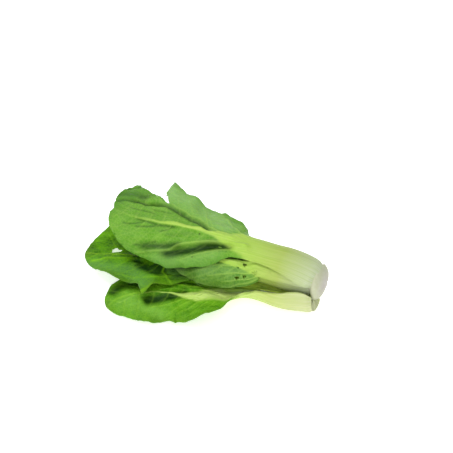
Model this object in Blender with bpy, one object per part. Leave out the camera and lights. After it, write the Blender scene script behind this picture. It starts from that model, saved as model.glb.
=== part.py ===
"""A head of green-stemmed mustard greens, cut at the base and lying on its side.

Lengths are in millimetres while the leaves are laid out and in metres once they are meshes.
In the layout frame +X runs along the head to the cut, +Z is up, the cut face is the plane x = 0 and
the head lies on the plane z = 0. A turn is an angle round the head: 0 is up, 90 is the front (-Y),
180 is down. The finished head is moved so that the centre of its box stands over the origin.
"""

import math

import bmesh
import bpy
import numpy as np
from mathutils import Vector
from mathutils.bvhtree import BVHTree

MM = 0.001

# The bulb: height of its axis, and its radius at each distance from the cut
AXIS_HEIGHT = 24.5
BULB_RADIUS = (
    (0, 14.6), (3, 15.7), (8, 17.2), (14, 18.4), (22, 19.4), (32, 19.7), (44, 19.2), (60, 19.8),
)
BULB_STATIONS = (6, 12, 20, 30, 40, 50)
LEAST_STATION_STEP = 3

# The cut stem inside the petioles
CUT_RADIUS = 11.3
CUT_EDGE = 0.8
CONE_LENGTH = 13.0
CONE_FULLNESS = 0.9
STEM_SIDES = 32

# The bud at the heart: where it starts and ends, its radius, its drop below the axis, and its profile
BUD_START = 18.5
BUD_TIP = 66.5
BUD_RADIUS = 2.2
BUD_DROP = 0.4
BUD_PROFILE = ((0, 0), (0.03, 0.6), (0.2, 0.75), (0.5, 0.9), (0.75, 1.0), (0.92, 0.6), (1, 0))
BUD_SIDES = 14

# Every leaf: a thick petiole that becomes a thin blade with a midrib
BLADE_THICKNESS = 0.9
PETIOLE_EDGE = 1.1
OPENS = (60.0, 76.0)
HUG = 0.86
PETIOLE_BODY = ((0, 0.42), (5, 0.8), (14, 1.0), (44, 0.95), (60, 0.85))
PETIOLE_FILL = 1.04
HEEL = (2.0, 14.0)
RIB_BODY = ((0, 1.0), (0.4, 0.85), (0.6, 0.6), (0.8, 0.38), (1, 0.16))
RIB_WIDTH = ((0.35, 7.0), (0.6, 3.6), (1, 1.5))
RIB_ROUNDNESS = 1.3
RIB_SHOWS_OUTSIDE = 0.45
LOW_WAVE_LAG = 1.3
STRAIGHT = 1e-4

# The grid that a leaf's face is laid on, and the steps that its midrib is read in
ROWS = 26
ROW_CROWDING = 0.1
ACROSS = (-1.0, -0.68, -0.38, -0.15, 0.0, 0.15, 0.38, 0.68, 1.0)
SPINE_STEPS = 400

# How the leaves press on each other as they are laid, in rounds of pushing and spreading
GAP = 0.75
PRESS_ROUNDS = 46
FREE_ROUNDS = 16
REACH = 14.0
SIDE_REACH = 3.0
STEP_SHARE = 0.7
SPREAD_SHARE = 0.4
SETTLED = 0.02

# start: distance from the cut. share: the petiole's place, as a share of the bulb's radius.
# opens: where along the leaf the petiole flattens and becomes a blade, OPENS unless it is given.
# path: the outer face of the midrib beyond the bulb, as x, y, z and the way that face looks, as a turn.
# widths: distance along the leaf, then how far it reaches on the side of lower and of higher turns.
# low, high: distance, slope and curl of the blade on each side, in degrees, positive to its inner face.
# tip: how far the margin lags behind the midrib at the tip, low side and high side. The same for wave.
# lead: how far the low side runs ahead of both, half-way out. heel: what a base adds where it joins the stem.
LEAVES = (
    dict(
        name="top_leaf", colour=(0.15, 0.32, 0.06), turn=8, share=1.0, start=0.6, thick=4.8,
        path=((-67, -4.5, 44.6, 8), (-84, -5, 45, 8), (-103, -5, 44.4, 8), (-121, -5, 42.4, 7),
              (-139, -5, 39.8, 5), (-156, -4, 37.4, 3), (-172, -1, 35.6, 1), (-185, 3, 34.5, -2)),
        widths=((0, 12, 20), (10, 18, 20.5), (20, 18, 18.4), (32, 16, 16), (44, 14, 13.8),
                (54, 13, 14), (63, 16, 14), (72, 25, 16), (80, 29, 21), (91, 31, 27), (107, 33, 33),
                (124, 38, 33), (137, 46, 35.6), (148, 48, 34.6), (158, 46, 32), (167, 44, 29.6),
                (180, 44, 28), (190, 40, 22)),
        low=((60, 12, 6), (76, 14, 6), (92, 14, 4), (110, 10, 4), (128, 4, 2), (150, -3, 0),
             (190, -2, 0)),
        high=((60, 12, 40), (100, 14, 50), (150, 14, 46), (190, 10, 34)),
        tip=(-6, 20), lead=11, wave=(1.3, 1.6), wave_length=31, wave_phase=0.3,
    ),
    dict(
        name="lower_front_leaf", colour=(0.16, 0.42, 0.02), turn=146, share=1.42, hug=1.06,
        least=24.6, start=0.6, thick=4.8, heel=3.4, opens=(54, 72),
        path=((-66, -19.5, 1.2, 152), (-80, -23.5, 2.4, 166), (-95, -28.5, 3.6, 176),
              (-109, -35, 4.2, 182), (-121, -44, 4.2, 186), (-131, -55, 3.4, 186),
              (-139, -67, 2.2, 184), (-144, -77, 1.4, 182)),
        widths=((0, 19, 18), (6, 22, 22), (14, 22.5, 22), (24, 20, 21), (34, 17, 18), (46, 14, 14),
                (54, 11, 11), (60, 11, 10), (66, 17, 12), (75, 33, 14), (86, 41, 17),
                (100, 40.5, 21), (116, 38.5, 26), (132, 36, 28), (147, 34.5, 26), (160, 33, 23),
                (171, 26, 19)),
        low=((50, -6, 0), (66, -6, -6), (80, 2, -4), (170, 2, 0)), high=((60, 4, 8), (170, 0, 10)),
        tip=(12, 14), wave=(1.4, 1.2), wave_length=34, wave_phase=1.2,
    ),
    dict(
        name="back_leaf", colour=(0.12, 0.27, 0.06), turn=274, share=0.97, start=0.6, thick=4.2,
        path=((-64, 20, 21, 262), (-80, 25.5, 15, 240), (-98, 32, 10.5, 222), (-116, 38, 8, 211),
              (-134, 43.5, 7, 209), (-150, 48, 6, 205), (-163, 51, 5.5, 202)),
        widths=((0, 10, 9), (10, 16, 16), (20, 17, 17), (32, 14, 14), (44, 11, 11), (56, 9.5, 9),
                (68, 12, 8), (82, 21, 9), (98, 27, 13), (114, 30, 16), (132, 29, 15),
                (148, 25, 13), (160, 18, 11), (170, 12, 9)),
        low=((60, 2, 10), (100, -4, 0), (170, -6, -4)),
        high=((60, -4, 6), (100, -2, 0), (170, 0, 4)),
        tip=(13, 13), wave=(1.5, 1.6), wave_length=29, wave_phase=2.0,
    ),
    dict(
        name="upper_front_leaf", colour=(0.17, 0.38, 0.05), turn=50, share=0.93, start=4.0, thick=3.6,
        path=((-54, -15, 33.8, 56), (-66, -17.5, 33.2, 58), (-80, -18.5, 31.8, 58),
              (-95, -18, 29.8, 55), (-110, -15.5, 27.6, 51), (-125, -12, 25.6, 47),
              (-139, -8, 24.2, 43)),
        widths=((0, 10, 8), (8, 12, 9), (20, 12, 9), (32, 11, 10), (42, 9, 11), (47, 8, 12.5),
                (53, 9, 18), (61, 12, 20.5), (72, 16, 22.4), (86, 19, 23), (100, 20, 21),
                (114, 18, 18), (128, 13, 12), (138, 8, 8)),
        low=((50, 4, 26), (140, 4, 26)), high=((50, 6, 20), (140, 6, 20)),
        tip=(9, 9), wave=(1.0, 1.6), wave_length=22, wave_phase=0.8,
    ),
    dict(
        name="far_left_leaf", colour=(0.11, 0.30, 0.02), turn=200, share=0.96, start=4.0, thick=3.6,
        path=((-60, 2, 7.4, 196), (-76, 0.5, 7.6, 190), (-94, -2.5, 8.4, 186), (-112, -7, 9.6, 182),
              (-128, -12, 10.8, 180), (-144, -18, 12, 178), (-160, -24.5, 12.6, 176),
              (-175, -30.5, 12.4, 176), (-190, -36, 11.6, 178)),
        widths=((0, 10, 11), (10, 15, 15), (20, 15, 15), (32, 13, 12), (46, 13, 9.5), (56, 14, 9),
                (66, 15, 12), (80, 19, 20), (98, 25, 26), (116, 30, 31), (134, 33, 36),
                (152, 34, 41), (168, 32, 46), (182, 27, 46), (194, 19, 40)),
        low=((60, -4, 4), (190, -4, 4)), high=((60, 0, 8), (190, -2, 10)),
        tip=(12, 13), wave=(1.6, 1.6), wave_length=33, wave_phase=2.6,
    ),
    dict(
        name="upper_back_leaf", colour=(0.14, 0.32, 0.05), turn=328, share=0.8, start=5.0, thick=3.2,
        path=((-62, 9, 36.5, 332), (-80, 11, 37, 334), (-98, 13, 36.2, 336), (-116, 15, 34.6, 340),
              (-134, 17.5, 32.8, 342), (-152, 20, 31, 344)),
        widths=((0, 9, 8), (10, 12, 11), (22, 12, 11), (34, 10, 10), (46, 8.5, 8.5), (58, 8, 8),
                (68, 12, 11), (82, 19, 17), (98, 23, 21), (116, 24, 22), (132, 21, 19),
                (144, 15, 13), (150, 11, 9)),
        low=((60, 8, 34), (150, 6, 30)), high=((60, 6, 40), (150, 6, 36)),
        tip=(10, 10), wave=(1.2, 1.2), wave_length=26, wave_phase=0.0,
    ),
    dict(
        name="inner_front_leaf", colour=(0.22, 0.42, 0.07), turn=108, share=0.7, start=6.0, thick=2.8,
        path=((-58, -12, 20.5, 114), (-74, -14.5, 19, 120), (-90, -17, 17.8, 127),
              (-106, -19, 17, 132), (-122, -20, 16.6, 136), (-137, -20.5, 16.6, 140)),
        widths=((0, 8, 8), (10, 10.5, 10.5), (22, 10.5, 10.5), (34, 9, 9), (46, 8, 8), (54, 8, 8),
                (64, 12, 12), (78, 17, 16), (94, 20, 18), (110, 19, 17), (122, 14, 13), (131, 9, 8)),
        low=((60, 6, 40), (130, 6, 40)), high=((60, 6, 36), (130, 6, 36)),
        tip=(9, 9), wave=(1.0, 1.0), wave_length=24, wave_phase=1.7,
    ),
    dict(
        name="inner_back_leaf", colour=(0.23, 0.42, 0.08), turn=246, share=0.62, start=8.0, thick=2.6,
        path=((-58, 10.5, 19.5, 246), (-74, 12.5, 18.4, 244), (-90, 14.5, 17.2, 240),
              (-106, 16.5, 16.2, 236), (-122, 18.5, 15.4, 232), (-134, 20, 15, 230)),
        widths=((0, 7, 7), (10, 9.5, 9.5), (22, 9.5, 9.5), (34, 8, 8), (46, 7, 7), (54, 7.5, 7.5),
                (64, 10.5, 10.5), (78, 15, 15), (94, 17, 17), (108, 16, 16), (118, 12, 12),
                (126, 8, 8)),
        low=((60, 8, 44), (126, 8, 40)), high=((60, 8, 44), (126, 8, 40)),
        tip=(9, 9), wave=(0.9, 0.9), wave_length=23, wave_phase=0.6,
    ),
    dict(
        name="inner_top_leaf", colour=(0.25, 0.44, 0.08), turn=24, share=0.56, start=9.0, thick=2.3,
        path=((-58, -4, 34, 24), (-74, -4.4, 34.4, 22), (-90, -4.6, 34, 20), (-106, -4.4, 32.8, 16),
              (-121, -3.6, 31.2, 12)),
        widths=((0, 6, 6), (10, 8.5, 8.5), (22, 8.5, 8.5), (34, 7, 7), (46, 6.5, 6.5),
                (54, 7.5, 7.5), (66, 11.5, 11.5), (80, 14.5, 14.5), (92, 14, 14), (102, 11, 11),
                (112, 7, 7)),
        low=((56, 10, 48), (112, 10, 44)), high=((56, 10, 48), (112, 10, 44)),
        tip=(8, 8), wave=(0.8, 0.8), wave_length=21, wave_phase=2.2,
    ),
    dict(
        name="heart_lower_leaf", colour=(0.38, 0.54, 0.12), turn=166, share=0.47, start=11.0, thick=2.0,
        path=((-56, -1.8, 17.6, 166), (-72, -2.2, 17.6, 166), (-88, -2.6, 18, 166),
              (-104, -3, 19, 166)),
        widths=((0, 4.5, 4.5), (10, 6.5, 6.5), (22, 6.5, 6.5), (34, 6, 6), (44, 6, 6), (56, 9, 9),
                (70, 11.5, 11.5), (82, 10, 10), (94, 6, 6)),
        low=((50, 12, 56), (94, 12, 50)), high=((50, 12, 56), (94, 12, 50)),
        tip=(7, 7), wave=(0.6, 0.6), wave_length=19, wave_phase=1.1,
    ),
    dict(
        name="heart_upper_leaf", colour=(0.42, 0.57, 0.14), turn=304, share=0.34, start=13.0, thick=1.6,
        path=((-54, 4, 27.2, 308), (-68, 4.4, 27.8, 312), (-82, 4.4, 28.2, 316), (-95, 4, 28.2, 320)),
        widths=((0, 3.5, 3.5), (10, 4.5, 4.5), (22, 4.5, 4.5), (34, 4.5, 4.5), (46, 6.5, 6.5),
                (60, 8.5, 8.5), (71, 7, 7), (82, 4, 4)),
        low=((48, 14, 60), (82, 14, 54)), high=((48, 14, 60), (82, 14, 54)),
        tip=(6, 6), wave=(0.5, 0.5), wave_length=17, wave_phase=0.4,
    ),
)
LEAF_ROUGHNESS = 0.42
STEM_COLOUR = (0.55, 0.54, 0.42)
STEM_ROUGHNESS = 0.7
BUD_COLOUR = (0.46, 0.6, 0.16)


def smooth_values(knots, values, at):
    """A smooth curve through the values at the knots, read at the given places."""
    knots, values = np.asarray(knots, float), np.asarray(values, float)
    slopes = np.gradient(values, knots, axis=0)
    at = np.clip(at, knots[0], knots[-1])
    k = np.clip(np.searchsorted(knots, at, side="right") - 1, 0, len(knots) - 2)
    span = knots[k + 1] - knots[k]
    t = (at - knots[k]) / span
    if values.ndim > 1:
        t, span = t[..., None], span[..., None]
    rise = t * t * (3 - 2 * t)
    bend = slopes[k] * t * (1 - t) ** 2 - slopes[k + 1] * t * t * (1 - t)
    return values[k] * (1 - rise) + values[k + 1] * rise + bend * span


def table_at(table, at):
    places, values = zip(*table)
    return np.interp(at, places, values)


def bulb_radius(distance):
    along, radius = zip(*BULB_RADIUS)
    return smooth_values(along, radius, distance)


def blend(start, end, at):
    t = np.clip((at - start) / (end - start), 0, 1)
    return t * t * (3 - 2 * t)


def spine_of(leaf):
    """The outer face of the midrib from base to tip: distance, place, and the three directions there."""
    turn = math.radians(leaf["turn"])
    first = leaf["start"]
    points = []
    for along in [first] + [s for s in BULB_STATIONS if s >= first + LEAST_STATION_STEP]:
        radius = max(leaf["share"] * bulb_radius(along), leaf.get("least", 0))
        place = (-along, -radius * math.sin(turn), AXIS_HEIGHT + radius * math.cos(turn))
        points.append((*place, leaf["turn"]))
    points = np.array(points + list(leaf["path"]), float)
    chords = np.linalg.norm(np.diff(points[:, :3], axis=0), axis=1)
    knots = np.concatenate([[0], np.cumsum(chords)])
    fine = smooth_values(knots, points, np.linspace(0, knots[-1], SPINE_STEPS))
    place = fine[:, :3]
    steps = np.linalg.norm(np.diff(place, axis=0), axis=1)
    distance = np.concatenate([[0], np.cumsum(steps)])
    along = np.gradient(place, distance, axis=0)
    along /= np.linalg.norm(along, axis=1)[:, None]
    facing = np.radians(fine[:, 3])
    out = np.stack([0 * facing, -np.sin(facing), np.cos(facing)], 1)
    out -= (out * along).sum(1)[:, None] * along
    out /= np.linalg.norm(out, axis=1)[:, None]
    return distance, place, along, out, np.cross(out, along)


def lay_out(leaf, rows, across):
    """The outer face and the thickness of a leaf on a grid of rows along it and columns across it."""
    distance, *spine = spine_of(leaf)
    length = distance[-1]
    q = np.asarray(across)[None, :]
    t = np.linspace(0, 1, rows + 1)[:, None]
    row = length * (t + ROW_CROWDING * np.sin(2 * np.pi * t) / (2 * np.pi))
    start, low_width, high_width = (np.array(c, float) for c in zip(*leaf["widths"]))
    start = start * length / start[-1]
    half = np.where(q < 0, *(smooth_values(start, width, row) for width in (low_width, high_width)))
    w = np.abs(q) * half
    opens = leaf.get("opens", OPENS)
    in_blade = blend(*opens, row + leaf["start"])
    lag = np.where(q < 0, *leaf["tip"]) * q * q
    lead = leaf.get("lead", 0) * 4 * np.clip(-q * (1 + q), 0, None)
    s = row - (lag - lead) * blend(opens[1], length, row)
    base, forward, n, b = (
        np.stack([np.interp(s, distance, column) for column in values.T], -1) for values in spine
    )
    base = base + forward * np.clip(s - length, 0, None)[..., None]
    slope, curl = (
        np.where(q < 0, *(np.interp(row, *np.array(leaf[side]).T[[0, k]]) for side in ("low", "high")))
        for k in (1, 2)
    )

    # A petiole curves round the bulb, and a blade leans and curls as its two sides say.
    hug = HUG * leaf.get("hug", leaf["share"]) * bulb_radius(s + leaf["start"])
    bend = (1 - in_blade) / hug + in_blade * np.radians(curl) / half
    bend = np.where(np.abs(bend) < STRAIGHT, STRAIGHT, bend)
    lean = in_blade * np.radians(slope)
    angle = lean + bend * w
    x = np.sign(q) * (np.sin(angle) - np.sin(lean)) / bend
    z = (np.cos(angle) - np.cos(lean)) / bend
    phase = 2 * np.pi * s / leaf["wave_length"] + leaf["wave_phase"] + np.where(q < 0, LOW_WAVE_LAG, 0)
    z = z + np.where(q < 0, *leaf["wave"]) * in_blade * q * q * np.sin(phase)
    normal = n * np.cos(angle)[..., None] + b * (np.sign(q) * np.sin(angle))[..., None]

    # The thickness: a fleshy petiole, then a rib that thins to the tip, with the thin edge beside it.
    petiole = leaf["thick"] * table_at(PETIOLE_BODY, s + leaf["start"])
    petiole = petiole + leaf.get("heel", 0) * (1 - blend(*HEEL, s))
    rib = leaf["thick"] * table_at(RIB_BODY, s / length)
    rib_width = (1 - in_blade) * PETIOLE_FILL * half + in_blade * table_at(RIB_WIDTH, s / length)
    hump = np.clip(1 - (w / rib_width) ** 2, 0, 1) ** RIB_ROUNDNESS
    edge = PETIOLE_EDGE * (1 - in_blade) + BLADE_THICKNESS * in_blade
    thickness = edge + (np.where(in_blade < 0.5, petiole, np.maximum(rib, edge)) - edge) * hump
    proud = RIB_SHOWS_OUTSIDE * in_blade * (thickness - edge)
    face = base + b * x[..., None] + n * z[..., None] + normal * proud[..., None]
    return face, thickness


def normals_of(face):
    """Outward normals of a grid of points, rows running base to tip and columns to higher turns."""
    normal = np.cross(np.gradient(face, axis=0), np.gradient(face, axis=1))
    return normal / np.linalg.norm(normal, axis=2)[..., None]


def halved(grid):
    """The grid with a point added between each two neighbours."""
    rows = np.zeros((2 * len(grid) - 1, *grid.shape[1:]))
    rows[::2] = grid
    rows[1::2] = (grid[1:] + grid[:-1]) / 2
    both = np.zeros((len(rows), 2 * grid.shape[1] - 1, *grid.shape[2:]))
    both[:, ::2] = rows
    both[:, 1::2] = (rows[:, 1:] + rows[:, :-1]) / 2
    return both


def quads_of(rows, columns):
    """Faces of a grid of points whose normals look outwards."""
    return [
        (i * columns + j, (i + 1) * columns + j, (i + 1) * columns + j + 1, i * columns + j + 1)
        for i in range(rows - 1)
        for j in range(columns - 1)
    ]


def inner_tree(face, thickness):
    """A search tree of the inner face, whose normals look into the head."""
    inner = face - normals_of(face) * thickness[..., None]
    quads = [quad[::-1] for quad in quads_of(*inner.shape[:2])]
    return BVHTree.FromPolygons([Vector(point) for point in inner.reshape(-1, 3)], quads)


def push_from(trees, points):
    """How far each point has to move to lie inside the leaves round it."""
    moves = np.zeros_like(points)
    for k, point in enumerate(points):
        here = Vector(point)
        for tree in trees:
            place, normal, _, _ = tree.find_nearest(here, REACH)
            if place is None:
                continue
            depth = (here - place).dot(normal)
            aside = ((here - place) - normal * depth).length
            wanted = GAP * (1 - aside / SIDE_REACH)
            if aside < SIDE_REACH and depth < wanted:
                moves[k] += np.array(normal * (wanted - depth))
    return moves


def neighbours(grid):
    """The grid seen from each of its eight neighbours, its edge repeated outside it."""
    rows, columns = grid.shape[:2]
    padded = np.pad(grid, ((1, 1), (1, 1), (0, 0)), mode="edge")
    beside = ((0, 1), (2, 1), (1, 0), (1, 2), (0, 0), (0, 2), (2, 0), (2, 2))
    return [padded[i : i + rows, j : j + columns] for i, j in beside]


def press(face, thickness, trees):
    """The face once the leaf has settled inside the leaves round it and above the plane z = 0."""
    shift = np.zeros_like(face)
    for turn in range(PRESS_ROUNDS):
        now = face + shift
        fine = halved(now)
        moves = push_from(trees, fine.reshape(-1, 3)).reshape(fine.shape)
        step = moves[::2, ::2].copy()
        for near in neighbours(moves):
            near = near[::2, ::2]
            longer = (near ** 2).sum(-1) > (step ** 2).sum(-1)
            step[longer] = near[longer]
        inner = now - normals_of(now) * thickness[..., None]
        step[..., 2] -= np.minimum(np.minimum(now[..., 2], inner[..., 2]), 0)
        spreading = turn < PRESS_ROUNDS - FREE_ROUNDS
        if not spreading and np.abs(step).max() < SETTLED:
            break
        shift += STEP_SHARE * step
        if spreading:
            around = sum(neighbours(shift)[:4]) / 4
            shift = (1 - SPREAD_SHARE) * shift + SPREAD_SHARE * around
    face = face + shift
    face[..., 2] = np.maximum(face[..., 2], 0)
    return face


def settled_leaves():
    """Each leaf's outer face and thickness, laid in the order they grew, the outermost first."""
    trees, found = [], []
    for leaf in LEAVES:
        face, thickness = lay_out(leaf, ROWS, ACROSS)
        face = press(face, thickness, trees)
        trees.append(inner_tree(face, thickness))
        found.append((leaf, face, thickness))
    return found


def add_object(name, mesh, colour, roughness):
    """The mesh as an object with its own material."""
    mat = bpy.data.materials.new(name)
    mat.use_nodes = True
    shader = mat.node_tree.nodes["Principled BSDF"]
    shader.inputs["Base Color"].default_value = (*colour, 1)
    shader.inputs["Roughness"].default_value = roughness
    shader.inputs["Metallic"].default_value = 0.0
    mesh.materials.append(mat)
    mesh.shade_smooth()
    obj = bpy.data.objects.new(name, mesh)
    bpy.context.scene.collection.objects.link(obj)
    return obj


def add_leaf(leaf, face, thickness, shift):
    """One leaf: its outer face as a sheet, and a Solidify that thickens it inwards."""
    mesh = bpy.data.meshes.new(leaf["name"])
    points = (face.reshape(-1, 3) + shift) * MM
    mesh.from_pydata(points.tolist(), [], quads_of(*face.shape[:2]))
    obj = add_object(leaf["name"], mesh, leaf["colour"], LEAF_ROUGHNESS)
    group = obj.vertex_groups.new(name="thickness")
    thickest = thickness.max()
    for k, value in enumerate((thickness / thickest).ravel()):
        group.add([k], float(value), "REPLACE")
    solid = obj.modifiers.new("thickness", "SOLIDIFY")
    solid.thickness = thickest * MM
    solid.offset = -1
    solid.vertex_group = group.name


def add_turned(name, profile, sides, shift, drop, colour, roughness):
    """A solid turned about the head's axis from (distance, radius) points."""
    mesh = bpy.data.meshes.new(name)
    bm = bmesh.new()
    verts = [bm.verts.new((-distance * MM, 0, radius * MM)) for distance, radius in profile]
    edges = [bm.edges.new(pair) for pair in zip(verts, verts[1:])]
    bmesh.ops.spin(
        bm, geom=verts + edges, axis=(1, 0, 0), cent=(0, 0, 0), angle=2 * math.pi, steps=sides,
        use_merge=True,
    )
    bmesh.ops.remove_doubles(bm, verts=bm.verts, dist=1e-6)
    bmesh.ops.recalc_face_normals(bm, faces=bm.faces)
    bm.to_mesh(mesh)
    bm.free()
    obj = add_object(name, mesh, colour, roughness)
    obj.location = (Vector((0, 0, AXIS_HEIGHT - drop)) + Vector(shift)) * MM


def add_stem_base(shift):
    """The cut stem: a flat round face with a softened edge, and a cone that tapers up into the heart."""
    shoulder = 2 * CUT_EDGE
    profile = [(0, 0), (0, CUT_RADIUS - CUT_EDGE), (CUT_EDGE, CUT_RADIUS)]
    for t in (0, 0.2, 0.4, 0.6, 0.8, 1.0):
        distance = shoulder + (CONE_LENGTH - shoulder) * t
        profile.append((distance, (CUT_RADIUS - 0.5 * CUT_EDGE) * (1 - t) ** CONE_FULLNESS))
    add_turned("stem_base", profile, STEM_SIDES, shift, 0, STEM_COLOUR, STEM_ROUGHNESS)


def add_heart_bud(shift):
    """The unopened bud in the middle of the heart leaves."""
    reach = BUD_TIP - BUD_START
    profile = [(BUD_START + reach * t, BUD_RADIUS * share) for t, share in BUD_PROFILE]
    add_turned("heart_bud", profile, BUD_SIDES, shift, BUD_DROP, BUD_COLOUR, LEAF_ROUGHNESS)


def main():
    for obj in list(bpy.data.objects):
        bpy.data.objects.remove(obj)
    leaves = settled_leaves()
    cut_centre = np.zeros((1, 3))
    corners = np.concatenate([cut_centre] + [face.reshape(-1, 3) for _, face, _ in leaves])
    middle = (corners.min(0) + corners.max(0)) / 2
    shift = np.array([-middle[0], -middle[1], 0.0])
    for leaf, face, thickness in leaves:
        add_leaf(leaf, face, thickness, shift)
    add_stem_base(shift)
    add_heart_bud(shift)


main()
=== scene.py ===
import math

import bpy
import numpy as np
from mathutils import Matrix, Vector, noise
from mathutils.bvhtree import BVHTree


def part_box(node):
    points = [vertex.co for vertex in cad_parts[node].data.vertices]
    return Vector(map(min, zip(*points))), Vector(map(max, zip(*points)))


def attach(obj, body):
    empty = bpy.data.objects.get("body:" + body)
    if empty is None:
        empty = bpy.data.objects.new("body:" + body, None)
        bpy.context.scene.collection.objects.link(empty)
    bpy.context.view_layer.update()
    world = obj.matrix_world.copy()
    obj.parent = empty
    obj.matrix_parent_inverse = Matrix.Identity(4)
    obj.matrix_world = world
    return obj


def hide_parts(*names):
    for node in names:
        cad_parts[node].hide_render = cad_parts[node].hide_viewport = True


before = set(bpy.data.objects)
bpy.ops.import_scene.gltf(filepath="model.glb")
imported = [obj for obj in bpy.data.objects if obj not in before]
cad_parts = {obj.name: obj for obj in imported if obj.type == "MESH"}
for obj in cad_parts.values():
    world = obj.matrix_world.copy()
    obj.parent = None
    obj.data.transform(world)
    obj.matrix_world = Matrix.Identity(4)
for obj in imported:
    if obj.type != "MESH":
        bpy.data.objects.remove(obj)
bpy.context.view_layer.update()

# The white studio table: a seamless top under a very soft sky, with a large soft lamp high at the left
# and another low in front. The camera looks down at the head from its front right.
cut_low, cut_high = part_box("stem_base")
cut_foot = Vector((cut_high.x, (cut_low.y + cut_high.y) / 2, 0))
look_at = cut_foot + Vector((-0.07465, -0.01083, 0.05912))
camera_distance = 0.8
camera_turn, camera_rise = math.radians(27), math.radians(35)
camera_back = Vector((
    math.sin(camera_turn) * math.cos(camera_rise),
    -math.cos(camera_turn) * math.cos(camera_rise),
    math.sin(camera_rise),
))
camera_right = Vector((math.cos(camera_turn), math.sin(camera_turn), 0))
camera_up = camera_back.cross(camera_right)

bpy.ops.object.select_all(action="DESELECT")
bpy.ops.object.camera_add()
camera = bpy.context.object
camera.name = "photo_camera"
camera.data.lens = 85
camera.data.sensor_width = 36
camera.data.clip_start = 0.01
camera.matrix_world = Matrix.Translation(look_at + camera_back * camera_distance) @ Matrix(
    (camera_right, camera_up, camera_back)
).transposed().to_4x4()
bpy.context.scene.camera = camera

bpy.ops.mesh.primitive_plane_add(size=6, location=(0, 0, -0.0005))
table_top = bpy.context.object
table_top.name = "table_top"
paper = bpy.data.materials.new("white_paper")
paper.use_nodes = True
paper_inputs = paper.node_tree.nodes["Principled BSDF"].inputs
paper_inputs["Base Color"].default_value = (0.93, 0.93, 0.93, 1)
paper_inputs["Roughness"].default_value = 0.9
paper_inputs["Emission Color"].default_value = (1, 1, 1, 1)
paper_inputs["Emission Strength"].default_value = 0.5
table_top.data.materials.append(paper)

sky = bpy.data.worlds.new("white_studio")
sky.use_nodes = True
sky.node_tree.nodes["Background"].inputs["Color"].default_value = (0.96, 0.98, 1.0, 1)
sky.node_tree.nodes["Background"].inputs["Strength"].default_value = 0.66
bpy.context.scene.world = sky
bpy.context.scene.view_settings.view_transform = "Standard"

for lamp_name, place, size, power in (
    ("large_softbox", Vector((-0.45, 0.05, 0.95)), 0.9, 8.0),
    ("front_softbox", Vector((0.25, -1.0, 0.45)), 0.9, 7.0),
):
    bpy.ops.object.light_add(type="AREA", location=place + look_at)
    lamp = bpy.context.object
    lamp.name = lamp_name
    lamp.data.energy = power
    lamp.data.size = size
    lamp.rotation_euler = (-place).to_track_quat("-Z", "Y").to_euler()


# The outermost leaf, on top of the head: a thick pale petiole that wraps half the bulb and opens into
# a broad blade, seen from its outer side. Folded when packed: a raised lobe at the back, cut off from
# the tip by a notch, and deep pleats beside the ribs at the front.
MM = 0.001
AXIS_HEIGHT = 24.5
BULB_RADIUS = (
    (0, 14.6), (3, 15.7), (8, 17.2), (14, 18.4), (22, 19.4), (32, 19.7), (44, 19.2), (60, 19.8),
)
BULB_STATIONS = (6, 12, 20, 30, 40, 50)
LAID_T = np.linspace(0, 1, 27)
LAID_ACROSS = (-1.0, -0.68, -0.38, -0.15, 0.0, 0.15, 0.38, 0.68, 1.0)
ROW_CROWDING = 0.1
BLADE_OPENS = (60, 76)
LAID_GAP, LAID_SIDE_REACH = 0.75, 3.0
LEAF_GAP, LEAF_SIDE_REACH = 0.3, 1.6
TABLE_GAP = 0.15
SPREADING_TURNS, SETTLING_TURNS, SETTLED = 30, 46, 0.02
settled_inner_faces = []
finished_inner_faces = []


def smooth_values(knots, values, at):
    """A smooth curve through the values at the knots, read at the given places."""
    knots, values = np.asarray(knots, float), np.asarray(values, float)
    slopes = np.gradient(values, knots, axis=0)
    at = np.clip(at, knots[0], knots[-1])
    k = np.clip(np.searchsorted(knots, at, side="right") - 1, 0, len(knots) - 2)
    span = knots[k + 1] - knots[k]
    t = (at - knots[k]) / span
    if values.ndim > 1:
        t, span = t[..., None], span[..., None]
    rise = t * t * (3 - 2 * t)
    bend = slopes[k] * t * (1 - t) ** 2 - slopes[k + 1] * t * t * (1 - t)
    return values[k] * (1 - rise) + values[k + 1] * rise + bend * span


def table_at(table, at):
    """The table of (place, value) read between its places."""
    places, values = zip(*table)
    return np.interp(at, places, values)


def bulb_radius(distance):
    along, radius = zip(*BULB_RADIUS)
    return smooth_values(along, radius, distance)


def blend(start, end, at):
    """A soft step from 0 at the start to 1 at the end."""
    t = np.clip((at - start) / (end - start), 0, 1)
    return t * t * (3 - 2 * t)


def swell(far, width):
    """1 on a line, and falling smoothly to nothing within a few widths of it."""
    return np.exp(-(far / width) ** 2)


def unit(vectors):
    return vectors / np.maximum(np.linalg.norm(vectors, axis=-1), 1e-9)[..., None]


def rows_at(length, t):
    """Distances from the leaf's base of its rows of points, which crowd towards both its ends."""
    return length * (t + ROW_CROWDING * np.sin(2 * np.pi * t) / (2 * np.pi))


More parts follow.
